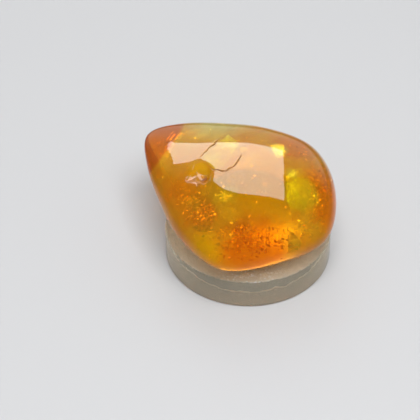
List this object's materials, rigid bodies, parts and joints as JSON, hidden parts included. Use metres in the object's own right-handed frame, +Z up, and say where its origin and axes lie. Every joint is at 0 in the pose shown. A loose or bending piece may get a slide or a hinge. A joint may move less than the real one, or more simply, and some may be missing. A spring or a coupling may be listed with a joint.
{
  "type": "tumbled amber",
  "caption": "Pear-shaped tumbled amber pebble, see-through and full of sun spangles, resting on a clear ring stand.",
  "frame": {"origin": "bottom centre of the whole object's box, on the surface that the ring stands on", "axes": "+Z up along the ring's axis; -Y is the front, the side that the picture looks at and that the pebble tips down towards; the pebble's nose points to -X and +Y"},
  "size_m": [0.0288, 0.0274, 0.0174],
  "materials": {
    "amber": "tumbled to a soft polish, see-through golden orange",
    "clear_resin": "clear walls with a finely frosted upper face"
  },
  "bodies": {
    "root": {"amber": "amber", "ring_stand": "clear_resin"}
  },
  "joints": []
}
